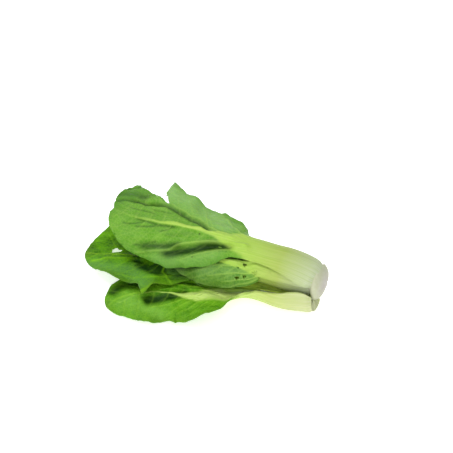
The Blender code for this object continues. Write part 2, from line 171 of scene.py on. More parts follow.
def spine_of(leaf):
    """The outer face of the midrib from base to tip: distance, place, and the three directions there."""
    turn = math.radians(leaf["turn"])
    first = leaf["start"]
    points = []
    for along in [first] + [s for s in BULB_STATIONS if s >= first + 3]:
        radius = max(leaf["share"] * bulb_radius(along), leaf.get("least", 0))
        place = (-along, -radius * math.sin(turn), AXIS_HEIGHT + radius * math.cos(turn))
        points.append((*place, leaf["turn"]))
    points = np.array(points + list(leaf["path"]), float)
    chords = np.linalg.norm(np.diff(points[:, :3], axis=0), axis=1)
    knots = np.concatenate([[0], np.cumsum(chords)])
    fine = smooth_values(knots, points, np.linspace(0, knots[-1], 400))
    place = fine[:, :3]
    steps = np.linalg.norm(np.diff(place, axis=0), axis=1)
    distance = np.concatenate([[0], np.cumsum(steps)])
    along = unit(np.gradient(place, distance, axis=0))
    facing = np.radians(fine[:, 3])
    out = np.stack([0 * facing, -np.sin(facing), np.cos(facing)], 1)
    out = unit(out - (out * along).sum(1)[:, None] * along)
    return distance, place, along, out, np.cross(out, along)


def lay_out(leaf, t, across, edge=(1.1, 0.9), rib=0.0, rim=0.0):
    """The outer face, the thickness, and where each point lies in the leaf: along it, across it, how
    far it is a blade, and the leaf's length. rib is how far the rib strays, and rim how the edge does."""
    distance, *spine = spine_of(leaf)
    length = distance[-1]
    q = np.asarray(across)[None, :]
    t = np.asarray(t)[:, None]
    row = rows_at(length, t)
    start, low_width, high_width = (np.array(c, float) for c in zip(*leaf["widths"]))
    start = start * length / start[-1]
    half = np.where(q < 0, *(smooth_values(start, width, row) for width in (low_width, high_width)))
    half = half + rim
    w = np.abs(q) * half
    if "notch" in leaf:
        notch_row, depth, lean, kept = leaf["notch"]
        past = (q < 0) & (row > notch_row) & (w > depth)
        w = np.where(past, depth + (w - depth) * table_at(kept, row), w)
    opens = leaf.get("opens", BLADE_OPENS)
    in_blade = blend(*opens, row + leaf["start"])
    lag = np.where(q < 0, *leaf["tip"]) * q * q
    out_to = np.where(q < 0, w / half, 0)
    lead = leaf.get("lead", 0) * 4 * out_to * (1 - out_to)
    s = row - (lag - lead) * blend(opens[1], length, row)
    s = s - leaf.get("trim", 0) * blend(length - 70, length, s)
    if "notch" in leaf:
        beyond = np.clip(w - depth, 0, None) * (q < 0) * (row < notch_row)
        s = s + lean * beyond * blend(notch_row - 30, notch_row, row)
    base, forward, n, b = (
        np.stack([np.interp(s, distance, column) for column in values.T], -1) for values in spine
    )
    base = base + forward * np.clip(s - length, 0, None)[..., None]
    slope, curl = (
        np.where(q < 0, *(np.interp(row, *np.array(leaf.get(side, leaf["low"])).T[[0, k]])
                          for side in ("low", "high")))
        for k in (1, 2)
    )
    hug = 0.86 * leaf.get("hug", leaf["share"]) * bulb_radius(s + leaf["start"])
    bend = (1 - in_blade) / hug + in_blade * np.radians(curl) / half
    bend = np.where(np.abs(bend) < 1e-4, 1e-4, bend)
    angle_in = in_blade * np.radians(slope)
    angle = angle_in + bend * w
    x = np.sign(q) * (np.sin(angle) - np.sin(angle_in)) / bend
    z = (np.cos(angle) - np.cos(angle_in)) / bend
    phase = 2 * np.pi * s / leaf["wave_length"] + leaf["wave_phase"] + np.where(q < 0, 1.3, 0)
    z = z + np.where(q < 0, *leaf["wave"]) * in_blade * q * q * np.sin(phase)
    normal = n * np.cos(angle)[..., None] + b * (np.sign(q) * np.sin(angle))[..., None]

    body = ((0, 0.42), (5, 0.8), (14, 1.0), (44, 0.95), (60, 0.85))
    petiole = leaf["thick"] * table_at(body, s + leaf["start"])
    petiole = petiole * (1 + leaf.get("fill", 0) * (1 - blend(40, 62, s)))
    petiole = petiole + leaf.get("heel", 0) * (1 - blend(2, 14, s))
    rib_body = ((0, 1.0), (0.4, 0.85), (0.6, 0.6), (0.8, 0.38), (1, 0.16))
    rib_height = leaf["thick"] * table_at(rib_body, s / length)
    rib_span = table_at(((0.35, 7.0), (0.6, 3.6), (1, 1.5)), s / length)
    rib_span = (1 - in_blade) * 1.04 * half + in_blade * rib_span
    hump = np.clip(1 - ((w - np.sign(q) * rib * in_blade) / rib_span) ** 2, 0, 1) ** 1.3
    thin = (edge[0] + leaf.get("rim_wall", 0)) * (1 - in_blade) + edge[1] * in_blade
    thickness = thin + (np.where(in_blade < 0.5, petiole, np.maximum(rib_height, thin)) - thin) * hump
    proud = 0.45 * in_blade * (thickness - thin)
    face = base + b * x[..., None] + n * z[..., None] + normal * proud[..., None]
    return face, thickness, s, np.sign(q) * w, np.broadcast_to(in_blade, w.shape), length


def normals_of(face):
    return unit(np.cross(np.gradient(face, axis=0), np.gradient(face, axis=1)))


def halved(grid):
    """The grid with a point added between each two neighbours."""
    rows = np.zeros((2 * len(grid) - 1, *grid.shape[1:]))
    rows[::2] = grid
    rows[1::2] = (grid[1:] + grid[:-1]) / 2
    both = np.zeros((len(rows), 2 * grid.shape[1] - 1, *grid.shape[2:]))
    both[:, ::2] = rows
    both[:, 1::2] = (rows[:, 1:] + rows[:, :-1]) / 2
    return both


def inner_tree(face, thickness):
    """A search tree of the inner face, whose normals look into the head."""
    inner = face - normals_of(face) * thickness[..., None]
    rows, columns = inner.shape[:2]
    corner = (np.arange(rows - 1)[:, None] * columns + np.arange(columns - 1)).ravel()
    quads = np.stack([corner, corner + 1, corner + columns + 1, corner + columns], 1)
    return BVHTree.FromPolygons(inner.reshape(-1, 3).tolist(), quads.tolist())


def push_from(trees, points, gap, side_reach):
    """How far each point has to move to lie inside the leaves round it."""
    moves = np.zeros_like(points)
    farthest = 14.0
    for k, point in enumerate(points.tolist()):
        here = Vector(point)
        for tree in trees:
            place, normal, _, _ = tree.find_nearest(here, farthest)
            if place is None:
                continue
            depth = (here - place).dot(normal)
            aside = ((here - place) - normal * depth).length
            wanted = gap * (1 - aside / side_reach)
            if aside < side_reach and depth < wanted:
                moves[k] += np.array(normal * (wanted - depth))
    return moves


def neighbours(grid):
    """The grid seen from each of its eight neighbours, its edge repeated outside it."""
    rows, columns = grid.shape[:2]
    padded = np.pad(grid, ((1, 1), (1, 1), (0, 0)), mode="edge")
    beside = ((0, 1), (2, 1), (1, 0), (1, 2), (0, 0), (0, 2), (2, 0), (2, 2))
    return [padded[i : i + rows, j : j + columns] for i, j in beside]


def settle(leaf):
    """How far each point of the leaf as laid out is moved by the leaves round it and by the table."""
    face, thickness = lay_out({k: v for k, v in leaf.items() if k != "notch"}, LAID_T, LAID_ACROSS)[:2]
    shift = np.zeros_like(face)
    for turn in range(SETTLING_TURNS):
        now = face + shift
        fine = halved(now)
        moves = push_from(settled_inner_faces, fine.reshape(-1, 3), LAID_GAP, LAID_SIDE_REACH)
        moves = moves.reshape(fine.shape)
        step = moves[::2, ::2].copy()
        for near in neighbours(moves):
            near = near[::2, ::2]
            longer = (near ** 2).sum(-1) > (step ** 2).sum(-1)
            step[longer] = near[longer]
        inner = now - normals_of(now) * thickness[..., None]
        step[..., 2] -= np.minimum(np.minimum(now[..., 2], inner[..., 2]), 0)
        spreading = turn < SPREADING_TURNS
        if not spreading and np.abs(step).max() < SETTLED:
            break
        shift += 0.7 * step
        if spreading:
            shift = 0.6 * shift + 0.4 * sum(neighbours(shift)[:4]) / 4
    settled = face + shift
    settled[..., 2] = np.maximum(settled[..., 2], 0)
    settled_inner_faces.append(inner_tree(settled, thickness))
    return settled - face


def spread_over(grid, grid_t, grid_across, t, across):
    """The values of a coarse grid read smoothly at other rows and columns."""
    columns = len(grid_across)
    rows = smooth_values(grid_t, grid.reshape(len(grid_t), -1), t)
    rows = rows.reshape(len(t), columns, 3).transpose(1, 0, 2).reshape(columns, -1)
    return smooth_values(grid_across, rows, across).reshape(len(across), len(t), 3).transpose(1, 0, 2)


def uneven(s, w, along, across, seed):
    """Smooth noise, its bumps as long and as wide as given, in millimetres."""
    points = np.stack([s / along, w / across, np.full_like(s, seed)], -1).reshape(-1, 3)
    return np.array([noise.noise(point) for point in points.tolist()]).reshape(s.shape)


def along_line(line, s, w):
    """Distance of each point from a line of (s, w) points, the side it lies on, and how far along."""
    line = np.asarray(line, float)
    if len(line) > 2:
        step = np.linspace(0, len(line) - 1, 6 * len(line))
        line = smooth_values(np.arange(len(line)), line, step)
    best = np.full(s.shape, 1e9)
    side, place = np.zeros(s.shape), np.zeros(s.shape)
    count = len(line) - 1
    for k in range(count):
        a, d = line[k], line[k + 1] - line[k]
        u = np.clip(((s - a[0]) * d[0] + (w - a[1]) * d[1]) / max((d ** 2).sum(), 1e-9), 0, 1)
        ds, dw = s - a[0] - u * d[0], w - a[1] - u * d[1]
        far = np.hypot(ds, dw)
        nearer = far < best
        best = np.where(nearer, far, best)
        side = np.where(nearer, np.sign(d[0] * dw - d[1] * ds), side)
        place = np.where(nearer, (k + u) / count, place)
    return best, side, place


def grown_veins(leaf, length, low, high):
    """The side veins that the leaf grows by itself: they leave the rib and bend towards the tip."""
    veins = []
    neck = leaf.get("opens", BLADE_OPENS)[0] - leaf["start"]
    for sign, reach in ((-1, low), (1, high)):
        s = neck + (3 if sign < 0 else 7)
        k = 0
        while s < length - 12:
            wobble = noise.noise((s * 0.37, 5.1 * sign, leaf["wave_phase"]))
            run = (46 - 26 * (s - neck) / (length - neck)) * (1 + 0.3 * wobble)
            out = 1.05 * float(np.interp(s + run * 0.6, *reach))
            line = [(s, 0)]
            for u in (0.2, 0.4, 0.6, 0.8, 1.0):
                stray = 1.2 * noise.noise((s * 0.21 + 2.3 * u, 7.7 * sign, 1.3))
                line.append((s + run * u ** 1.25, sign * out * (u ** 0.9) + stray))
            veins.append((1.0, line))
            for u in (1, 2, 3):
                a = line[u]
                tilt = 0.7 if (u + k) % 2 else -0.35
                span = (0.24 + 0.08 * wobble) * out
                bend = (a[0] + span * (0.9 + tilt * 0.4), a[1] + sign * span * tilt * 0.7)
                end = (a[0] + span * 2.0, a[1] + sign * span * tilt * 1.2)
                veins.append((0.45, [a, bend, end]))
            s += 8.5 + 3.5 * wobble + 2 * k / 4
            k += 1
    return veins


def pick_faces(piece, wanted):
    """Opens the piece in edit mode with just the wanted faces selected."""
    bpy.ops.object.mode_set(mode="EDIT")
    bpy.ops.mesh.select_mode(type="FACE")
    bpy.ops.mesh.select_all(action="DESELECT")
    bpy.ops.object.mode_set(mode="OBJECT")
    for polygon in piece.data.polygons:
        polygon.select = bool(wanted(polygon))
    bpy.ops.object.mode_set(mode="EDIT")


def leaf_piece(leaf, skin, spacing=0.85):
    """The finished leaf: laid out finely, settled among the leaves round it, with its ribs and folds."""
    shift = settle(leaf)
    length = spine_of(leaf)[0][-1]
    t = np.linspace(0, 1, int(length / spacing) + 1)
    widths = np.array(leaf["widths"], float)
    low_columns, high_columns = (int(widths[:, k].max() / spacing) + 1 for k in (1, 2))
    across = np.concatenate([np.linspace(-1, 0, low_columns + 1)[:-1], np.linspace(0, 1, high_columns + 1)])
    row = rows_at(length, t)
    seed = leaf["wave_phase"] * 7 + leaf["turn"]
    reach_s = widths[:, 0] * length / widths[-1, 0]
    opens = leaf.get("opens", BLADE_OPENS)
    rims = np.array([
        [noise.noise((r / 9, side * 4 + seed, 0)) + 0.4 * noise.noise((r / 3.4, side * 9 + seed, 2))
         for r in row]
        for side in (-1, 1)
    ])
    rims *= np.array(leaf.get("fringe", (0.9, 0.9)))[:, None] * blend(*opens, row)
    for side, at, height, width in leaf.get("lobes", ()):
        rims[side] += height * swell(row - at, width)
    rim = np.where(across[None, :] < 0, rims[0][:, None], rims[1][:, None])
    stray = table_at(leaf["rib"], row)[:, None] if "rib" in leaf else 0.0
    face, thickness, s, w, in_blade, length = lay_out(leaf, t, across, (1.0, 0.62), stray, rim)
    face = face + spread_over(shift, LAID_T, LAID_ACROSS, t, across)
    out = normals_of(face)
    q = np.broadcast_to(across, s.shape)

    # The petiole's pale flesh runs out along the rib and ends in a narrow line.
    neck = opens[0] - leaf["start"]
    usual = ((-14, 40), (-4, 20), (2, 12), (15, 6.5), (28, 2.8), (40, 1.8), (60, 1.2), (90, 0.8))
    flesh_width = table_at(leaf.get("flesh", usual), s - neck)
    aside = np.abs(w - (stray * in_blade if "rib" in leaf else 0))
    flesh = 1 - blend(0.0, 1.0, (aside - 0.55 * flesh_width) / (0.9 * flesh_width + 0.6))
    flesh = flesh * (1 - 0.75 * blend(neck + 20, length - 5, s))

    # Ribs and veins stand out on the outer face, and each vein has a slight furrow along its two sides,
    # darkened with painted shade. A rib has its height, its width, how pale it is, and its line.
    lift = np.zeros_like(s)
    pale = np.zeros_like(s)
    shade = np.zeros_like(s)
    veins = [(strength * leaf.get("vein", 0.5), line) for strength, line in
             grown_veins(leaf, length, (reach_s, widths[:, 1]), (reach_s, widths[:, 2]))]
    for strength, line in veins:
        far, _, place = along_line(line, s, w)
        fade = strength * (1 - 0.7 * place) * in_blade
        thick = 0.75 + 0.55 * strength * (1 - place)
        lift += 0.42 * fade * (swell(far, thick) - 0.35 * swell(far, 2.6 * thick))
        pale = np.maximum(pale, 0.75 * fade * swell(far, 0.7 * thick))
        shade = np.maximum(shade, 0.16 * fade * swell(far - 1.9 * thick, 1.1 * thick))
    for height, width, paleness, line in leaf.get("ribs", ()):
        far, _, place = along_line(line, s, w)
        width = width * (1.15 - 0.55 * place)
        ends = blend(0, 0.08, place) * (1 - 0.6 * blend(0.5, 1, place))
        lift += height * ends * swell(far, width)
        pale = np.maximum(pale, paleness * (1 - 0.5 * place) * swell(far, 0.8 * width))

    # Pleats, troughs and lifted lobes: height, the width on either side, the painted shade in it (shadow in
    # troughs and under other leaves' edges), its line.
    for height, left, right, fold_painted_shade, line in leaf.get("folds", ()):
        far, side, place = along_line(line, s, w)
        ends = blend(0, 0.16, place) * (1 - blend(0.84, 1, place))
        width = np.where(side > 0, left, right)
        lift += height * (swell(far, width) * ends)
        shade = np.maximum(shade, fold_painted_shade * swell(far, 0.8 * width) * ends)

    # Painted sheen: paler, greyer patches painted where light falls on raised lobes and crests, and on the
    # far left leaf a bluish painted shade: strength, width, line.
    painted_sheen = np.zeros_like(s)
    for strength, width, line in leaf.get("painted_sheen_patches", ()):
        far = along_line(line, s, w)[0]
        painted_sheen = np.maximum(painted_sheen, strength * swell(far, width))

    # The quilting between the veins, the crinkled margin, and the fibres of the petiole.
    margin = np.abs(q) ** 6
    margin = np.maximum(margin, blend(length - 10, length, s))
    quilt = uneven(s, w, 13, 8, seed) + 0.5 * uneven(s, w, 6, 4, seed + 3)
    crease = 1 - np.abs(uneven(s, w, 24, 3.6, seed + 9)) * 2.4
    lift += in_blade * leaf.get("quilt", 0.9) * quilt
    lift += in_blade * leaf.get("crease", 0.3) * np.clip(crease, 0, 1) ** 2
    lift += in_blade * 0.8 * margin * uneven(s, w, 7, 30, seed + 17)
    lift += (1 - in_blade) * 0.16 * uneven(s, w, 60, 1.6, seed + 5)
    lift -= (1 - in_blade) * leaf.get("blunt", 1.3) * (1 - blend(0, 6, s)) ** 2
    face = face + out * lift[..., None]

    # Each leaf lies inside the finished faces of the leaves laid before it, and on the table.
    for turn in range(6):
        sample = face[::3, ::3]
        push = push_from(finished_inner_faces, sample.reshape(-1, 3), LEAF_GAP, LEAF_SIDE_REACH)
        push = push.reshape(sample.shape)
        if np.abs(push).max() < 0.05:
            break
        if turn < 3:
            push = 0.5 * push + 0.5 * sum(neighbours(push)[:4]) / 4
        sampled = (np.arange(size) for size in push.shape[:2])
        face = face + spread_over(push, *sampled, np.arange(len(t)) / 3, np.arange(len(across)) / 3)
    inner = face - normals_of(face) * thickness[..., None]
    lowest = np.minimum(face[..., 2], inner[..., 2])
    face[..., 2] += np.clip(TABLE_GAP - lowest, 0, None)

    # Holes that insects have eaten: the points just at a hole's edge are drawn onto it.
    cut = np.zeros(s.shape, bool)
    for centre_s, centre_w, radius_s, radius_w in leaf.get("holes", ()):
        ds, dw = s - centre_s, w - centre_w
        angle = np.arctan2(dw / radius_w, ds / radius_s)
        ragged = 1 + 0.16 * np.sin(3 * angle + centre_s) + 0.09 * np.sin(5 * angle)
        far = np.hypot(ds / radius_s, dw / radius_w) / ragged
        near_edge = (far > 0.7) & (far < 1.0)
        pull = np.where(near_edge, 1 / np.maximum(far, 0.1) - 1, 0)
        forward, aside = (unit(np.gradient(face, axis=axis)) for axis in (0, 1))
        face = face + forward * (ds * pull)[..., None] + aside * (dw * pull)[..., None]
        cut |= far <= 1.0
        pale = np.maximum(pale, 0.5 * swell(far - 1.1, 0.2) * (far < 1.6))
    specks = np.zeros_like(s)
    for centre_s, centre_w, radius in leaf.get("specks", ()):
        far = np.hypot(s - centre_s, w - centre_w) / radius
        specks = np.maximum(specks, np.exp(-far ** 4))
    finished_inner_faces.append(inner_tree(face, thickness))

    # The sheet is a plain grid whose points are moved to the leaf's outer face, and Solidify thickens
    # it inwards.
    name = leaf["name"]
    rows, columns = s.shape
    bpy.ops.object.select_all(action="DESELECT")
    bpy.ops.mesh.primitive_grid_add(x_subdivisions=rows - 1, y_subdivisions=columns - 1, size=0.1)
    piece = bpy.context.object
    piece.name = name + "_shown"
    points = face.transpose(1, 0, 2).reshape(-1, 3) * MM + np.array(cut_foot)
    piece.data.vertices.foreach_set("co", points.ravel())
    layers = {"thickness": thickness, "flesh": flesh, "pale": pale, "shade": shade, "painted_sheen": painted_sheen,
              "margin": margin * in_blade, "speck": specks}
    for layer, values in layers.items():
        stored = piece.data.attributes.new(layer, "FLOAT", "POINT")
        stored.data.foreach_set("value", values.T.ravel().astype(np.float32))
    plan = piece.data.attributes.new("plan", "FLOAT_VECTOR", "POINT")
    plan_values = np.stack([s.T.ravel(), w.T.ravel(), np.full(s.size, seed)], 1)
    plan.data.foreach_set("vector", plan_values.astype(np.float32).ravel())
    group = piece.vertex_groups.new(name="wall")
    thickest = float(thickness.max())
    for k, value in enumerate((thickness / thickest).T.ravel().tolist()):
        group.add([k], value, "REPLACE")
    if "notch" in leaf:
        first = int(np.searchsorted(row, leaf["notch"][0]))
        cut[first - 1 : first + 1] |= w[first - 1 : first + 1] < -leaf["notch"][1]
    if cut.any():
        gone = cut.T.ravel()
        pick_faces(piece, lambda polygon: gone[list(polygon.vertices)].all())
        bpy.ops.mesh.delete(type="FACE")
        bpy.ops.object.mode_set(mode="OBJECT")
    count = len(piece.data.vertices)
    wall = piece.modifiers.new("wall", "SOLIDIFY")
    wall.thickness = thickest * MM
    wall.offset = -1
    wall.vertex_group = group.name
    bpy.ops.object.modifier_apply(modifier=wall.name)
    inside = piece.data.attributes.new("inner", "FLOAT", "POINT")
    inside.data.foreach_set("value", (np.arange(len(inside.data)) >= count).astype(np.float32))
    bpy.ops.object.shade_smooth_by_angle(angle=math.radians(60))
    piece.data.materials.append(skin)
    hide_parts(name)
    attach(piece, "root")


def node(tree, kind, inputs=None, **settings):
    """One shader node with its settings made, its inputs joined to sockets or set to values."""
    made = tree.nodes.new("ShaderNode" + kind)
    for key, value in settings.items():
        setattr(made, key, value)
    for socket, value in (inputs or {}).items():
        if isinstance(value, bpy.types.NodeSocket):
            tree.links.new(value, made.inputs[socket])
        else:
            made.inputs[socket].default_value = value
    return made


def mixed(tree, factor, a, b, blend_type="MIX"):
    """A mix of two colours."""
    a, b = ((*value, 1) if isinstance(value, tuple) else value for value in (a, b))
    made = node(tree, "Mix", {0: factor, 6: a, 7: b}, data_type="RGBA", blend_type=blend_type)
    return made.outputs[2]


def sums(tree, operation, a, b=0.0, c=0.0, clamp=False):
    return node(tree, "Math", {0: a, 1: b, 2: c}, operation=operation, use_clamp=clamp).outputs[0]


def leaf_finish(name, blade, light, base=(0.44, 0.48, 0.33), petiole=(0.33, 0.41, 0.095),
                neck=(0.34, 0.50, 0.08), painted_shade_colour=(0.011, 0.046, 0.002), rib=(0.27, 0.44, 0.07),
                painted_sheen=(0.21, 0.40, 0.115), rim=(0.12, 0.20, 0.04), sheen=0.14, neck_at=62.0):
    """Leaf skin: pale fibrous petiole, green blade with a net of fine veins, waxy and slightly uneven, with
    painted shade and a painted sheen mixed into its colour.
    """
    inner, roughness = (0.68, 0.86, 0.3), 0.44
    made = bpy.data.materials.new(name)
    made.use_nodes = True
    tree = made.node_tree
    shader = tree.nodes["Principled BSDF"]
    values = {key: node(tree, "Attribute", attribute_name=key, attribute_type="GEOMETRY")
              for key in ("plan", "flesh", "pale", "shade", "painted_sheen", "margin", "inner", "speck")}
    plan = values["plan"].outputs["Vector"]
    amount = {key: value.outputs["Fac"] for key, value in values.items()}

    # The petiole goes from whitish at the cut to yellow-green at the neck, with long fine fibres in it.
    along = node(tree, "SeparateXYZ", {0: plan}).outputs[0]
    place = node(tree, "MapRange", {0: along, 1: 0.0, 2: neck_at}, clamp=True).outputs[0]
    ramp = node(tree, "ValToRGB", {0: place})
    ramp.color_ramp.elements[0].color = (*base, 1)
    ramp.color_ramp.elements[1].color = (*neck, 1)
    ramp.color_ramp.elements.new(0.5).color = (*petiole, 1)
    stretched = node(tree, "Mapping", {0: plan, 3: (0.02, 0.9, 1.0)}).outputs[0]
    fibre = node(tree, "TexNoise", {"Vector": stretched, "Scale": 1.0, "Detail": 3.0,
                                    "Roughness": 0.6}).outputs["Fac"]
    stalk = mixed(tree, sums(tree, "MULTIPLY_ADD", fibre, 2.4, -0.95, True), ramp.outputs[0],
                  mixed(tree, 1.0, ramp.outputs[0], (0.74, 0.86, 0.52), "MULTIPLY"))

    # The blade is mottled, with a net of small veins finer than the mesh.
    mottle = node(tree, "TexNoise", {"Vector": plan, "Scale": 0.09, "Detail": 4.0,
                                     "Roughness": 0.6, "Distortion": 0.4}).outputs["Fac"]
    leafy = mixed(tree, sums(tree, "MULTIPLY_ADD", mottle, 2.6, -0.8, True), blade, light)
    warped = node(tree, "TexNoise", {"Vector": plan, "Scale": 0.5, "Detail": 2.0}).outputs["Color"]
    bent = node(tree, "VectorMath", {0: warped, 1: (1.6, 1.6, 0.0)}, operation="MULTIPLY").outputs[0]
    bent = node(tree, "VectorMath", {0: plan, 1: bent}, operation="ADD").outputs[0]
    nets = []
    for scale, line_width in ((0.36, 0.16), (1.05, 0.2)):
        cells = node(tree, "TexVoronoi", {"Vector": bent, "Scale": scale},
                     feature="DISTANCE_TO_EDGE", voronoi_dimensions="2D").outputs["Distance"]
        fading = node(tree, "MapRange", {0: cells, 1: 0.0, 2: line_width, 3: 1.0, 4: 0.0}, clamp=True)
        nets.append(fading.outputs[0])
    lines = sums(tree, "MULTIPLY_ADD", nets[0], 0.30, sums(tree, "MULTIPLY", nets[1], 0.12))
    blade_share = sums(tree, "SUBTRACT", 1.0, amount["flesh"], clamp=True)
    # Painted sheen: the colour is lightened towards a pale grey-green where the sheen attribute is set,
    # standing for light on raised lobes and crests.
    leafy = mixed(tree, amount["painted_sheen"], leafy, painted_sheen)
    leafy = mixed(tree, lines, leafy, rib)
    # Painted shade: where the shade attribute is set, the blade is darkened towards the painted shade
    # colour. This stands for shadow in troughs, folds and under other leaves' edges, and the pale veins
    # there fade a little.
    shaded = sums(tree, "MULTIPLY", amount["shade"], 1.1, clamp=True)
    leafy = mixed(tree, shaded, leafy, painted_shade_colour)
    seen_veins = sums(tree, "MULTIPLY", amount["pale"], sums(tree, "MULTIPLY_ADD", shaded, -0.35, 1.0))
    leafy = mixed(tree, seen_veins, leafy, rib)

    # Where the petiole spreads into the blade its pale flesh frays into the green.
    fray = node(tree, "TexNoise", {"Vector": stretched, "Scale": 0.7, "Detail": 3.0}).outputs["Fac"]
    open_at = sums(tree, "ADD", blade_share, sums(tree, "MULTIPLY_ADD", fray, 0.6, -0.3))
    opened = node(tree, "MapRange", {0: open_at, 1: 0.08, 2: 0.95}, clamp=True,
                  interpolation_type="SMOOTHSTEP").outputs[0]
    colour = mixed(tree, opened, stalk, leafy)
    colour = mixed(tree, sums(tree, "MULTIPLY", amount["margin"], 0.5), colour, rim)
    colour = mixed(tree, sums(tree, "MULTIPLY", amount["inner"], blade_share), colour,
                   mixed(tree, 1.0, colour, inner, "MULTIPLY"))
    colour = mixed(tree, sums(tree, "MULTIPLY", amount["speck"], 0.9), colour, (0.02, 0.03, 0.008))
    tree.links.new(colour, shader.inputs["Base Color"])

    grain = node(tree, "TexNoise", {"Vector": plan, "Scale": 1.7, "Detail": 2.0}).outputs["Fac"]
    smoother_inside = sums(tree, "MULTIPLY_ADD", amount["inner"], -0.06, roughness - 0.08)
    gloss = sums(tree, "MULTIPLY_ADD", grain, 0.16, smoother_inside)
    tree.links.new(gloss, shader.inputs["Roughness"])
    relief = sums(tree, "MULTIPLY_ADD", sums(tree, "MULTIPLY", lines, blade_share), 1.2,
                  sums(tree, "MULTIPLY_ADD", grain, 0.25, sums(tree, "MULTIPLY", fibre, 0.35)))
    bump = node(tree, "Bump", {"Strength": 0.55, "Distance": 0.0004, "Height": relief})
    tree.links.new(bump.outputs[0], shader.inputs["Normal"])
    shader.inputs["Subsurface Weight"].default_value = 0.1
    shader.inputs["Subsurface Radius"].default_value = (0.7, 1.0, 0.15)
    shader.inputs["Subsurface Scale"].default_value = 0.001
    shader.inputs["Specular IOR Level"].default_value = sheen
    return made


# A leaf's numbers are millimetres and degrees. Its path is the midrib past the bulb, with the way that
# it faces. Widths, slopes and curls go by the distance from its base, for the low side and the high.
# In the folds the darkness is painted shade: shadow in troughs and pleats and under the edges of leaves
# lying over them. Folds with no height are painted shade alone. The sheen patches paint light onto raised
# lobes and crests.
top_leaf = dict(
    name="top_leaf", slot="outer_leaf", turn=8, share=1.0, start=0.6, thick=4.8,
    path=((-67, -4.5, 44.6, 8), (-84, -5, 45, 8), (-103, -5, 44.4, 8), (-121, -5, 42.4, 7),
          (-139, -5, 39.8, 5), (-156, -4, 37.4, 3), (-172, -1, 35.6, 1), (-185, 3, 34.5, -2)),
    widths=((0, 12, 20), (10, 18, 20.5), (20, 18, 18.4), (32, 16, 16), (44, 14, 13.8),
            (54, 13, 14), (63, 16, 14), (72, 25, 16), (80, 29, 21), (91, 31, 27), (107, 33, 33),
            (124, 40, 33), (131, 49, 35), (138, 56, 35.6), (148, 52, 34.6), (158, 48, 32),
            (167, 47, 29.6), (180, 46, 28), (186, 44.5, 25), (190, 40, 22)),
    low=((60, 12, 6), (76, 14, 6), (92, 14, 4), (110, 10, 4), (128, 4, 2), (150, -3, 0),
         (190, -2, 0)),
    high=((60, 12, 40), (100, 14, 50), (150, 14, 46), (190, 10, 34)),
    tip=(-11, 20), lead=12, wave=(1.3, 1.6), wave_length=31, wave_phase=0.3,
    trim=1.4, fringe=(0.9, 0.5), quilt=1.1, crease=0.55, vein=0.38,
    notch=(136.8, 26, 0.88, ((138, 0.05), (145, 0.2), (156, 0.4), (167, 0.43), (174, 0.49), (180, 0.65),
                             (186, 0.78), (192, 1))),
    ribs=(
        (2.4, 1.6, 0.95, ((56, 3), (69, 4.3), (85, 6.7), (99, 11.4), (114, 16), (124, 22.4), (148, 27.6))),
        (1.0, 1.3, 0.8, ((54, 6.5), (67, 8.8), (78, 10.6), (89, 15.9), (102, 23.6), (110, 27.1))),
        (0.7, 1.1, 0.6, ((60, -6), (71, -10), (83, -19), (93, -26), (103, -32), (112, -38))),
        (0.5, 1.0, 0.5, ((84, -3), (96, -6), (110, -26.5), (118, -37))),
        (0.5, 1.0, 0.7, ((66, -1.5), (84, -4), (96, -7), (105, -12.5), (117, -16), (141, -26))),
    ),
    folds=(
        (-3.6, 4.2, 3.0, 1.0, ((66, 5), (76, 7.2), (87, 10.8), (98, 16.2), (112, 20.6), (130, 24.5))),
        (0.0, 4.6, 4.2, 1.0, ((70, 6), (84, 9), (92, 12.5), (101, 18), (112, 20.6), (121, 24), (133, 27))),
        (-0.5, 1.1, 1.3, 0.6, ((164, 1), (148, 1.9), (137, 2.7), (128, 2.4), (116, 2.8))),
        (-0.4, 1.0, 1.2, 0.5, ((148, 1.6), (154, 4.6), (160, 7.2), (170, 8.8))),
        (-0.4, 1.0, 1.2, 0.55, ((134, 1.7), (141, 5), (150, 7.1), (156, 8.6))),
        (-0.4, 1.0, 1.2, 0.5, ((124, 1.6), (128, 5.8), (134, 9))),
        (-0.5, 1.2, 1.4, 0.6, ((131, 16.6), (141, 19.7), (153, 23.2))),
        (-0.6, 4.6, 3.4, 0.8, ((108, 13.6), (118, 17), (127, 19.6), (137, 21.2), (152, 22.4))),
        (-0.3, 1.0, 1.2, 0.45, ((144, -9.8), (161, -9.4), (177, -7.6))),
        (-0.3, 1.0, 1.2, 0.4, ((130, -14), (143, -13.7), (154, -13.4))),
        (-2.6, 2.8, 2.4, 0.7, ((84, -1.5), (96, -4), (105, -9.6), (117, -12.4), (141, -22), (158, -20.5),
                               (170, -18))),
        (-2.2, 2.2, 2.0, 0.85, ((150, -21), (164, -19.4), (185, -16.6), (197, -6))),
        (1.4, 4.0, 5.0, 0.0, ((80, -9), (105, -17), (125, -25), (150, -34))),
        (4.5, 11.0, 13.0, 0.0, ((112, -34), (138, -44), (160, -53), (190, -75))),
        (0.0, 6.0, 6.0, 0.65, ((166, -26), (178, -25), (190, -22), (204, -14))),
        (0.0, 3.0, 3.0, 0.2, ((100, 4), (110, 6), (120, 9), (130, 11))),
        (-1.0, 1.6, 1.6, 0.9, ((202, -26), (197, -31), (190, -36), (183, -38))),
    ),
    painted_sheen_patches=(
        (0.85, 11, ((84, -14), (105, -25), (125, -33), (150, -40))),
        (0.35, 8, ((84, 14), (104, 26), (130, 32))),
    ),
    specks=((99, 4.1, 0.8), (99, 23.5, 0.6)),
)
leaf_piece(top_leaf, leaf_finish("top_leaf_skin", (0.072, 0.235, 0.006), (0.125, 0.305, 0.022),
                                 rim=(0.06, 0.19, 0.012)))


